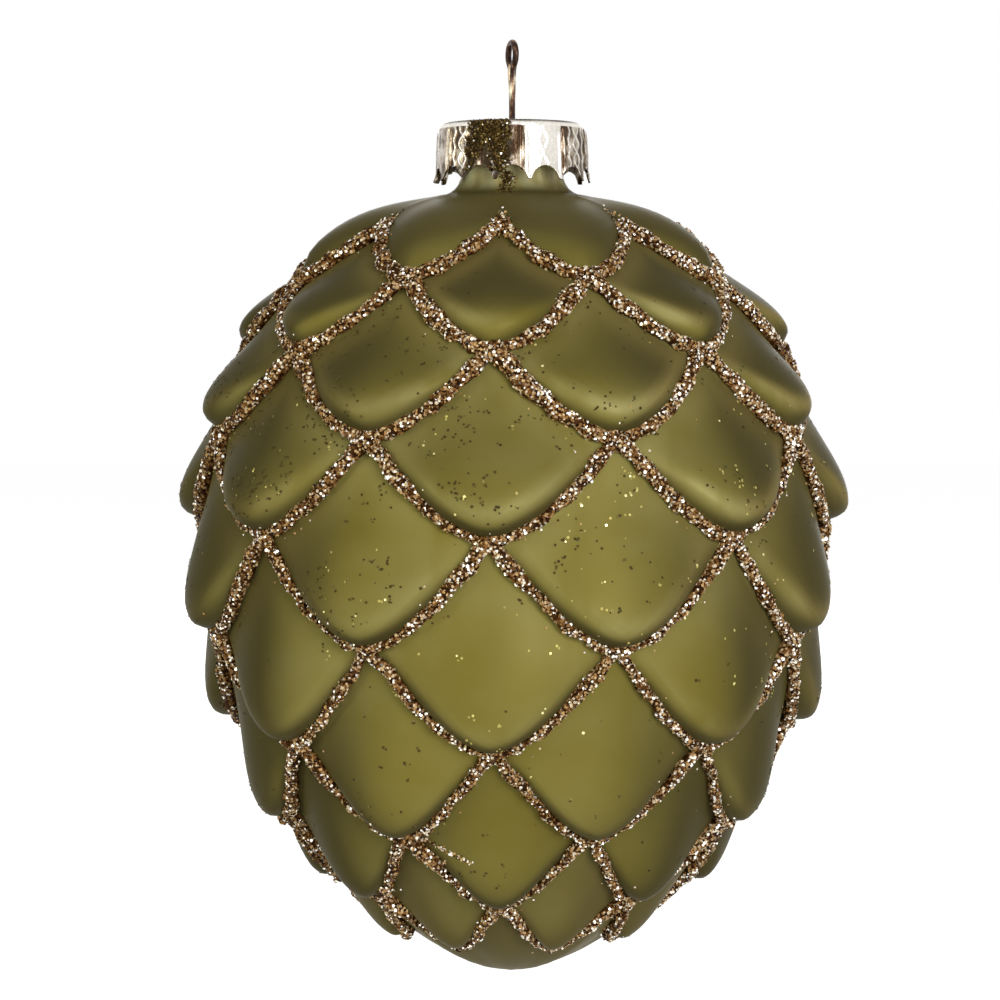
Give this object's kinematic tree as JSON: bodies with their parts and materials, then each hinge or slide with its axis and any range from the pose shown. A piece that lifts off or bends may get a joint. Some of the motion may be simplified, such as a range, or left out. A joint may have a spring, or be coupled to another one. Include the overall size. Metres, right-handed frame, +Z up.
{
  "type": "pine cone ornament",
  "caption": "Hollow glass pine cone for hanging, with overlapping scales edged in glitter, a metal cap on its neck and a wire hanging loop.",
  "frame": {"origin": "inside top of the wire loop, where a hook bears", "axes": "+Z up along the cone's axis, -Y the front; the legs of the wire lie in the YZ plane and its eye is turned 17 degrees from it, so the front sees it nearly edge on"},
  "size_m": [0.096, 0.096, 0.1338],
  "materials": {
    "satin_glass": "satin, mould-blown, olive green",
    "copper_glitter": "copper glitter in clear glue",
    "cap_metal": "stamped champagne-silver foil cap",
    "hanger_metal": "copper-coloured drawn wire"
  },
  "bodies": {
    "root": {"glass_shell": "satin_glass", "glitter_trim": "copper_glitter", "crown_cap": "cap_metal", "hanger_wire": "hanger_metal"}
  },
  "joints": []
}
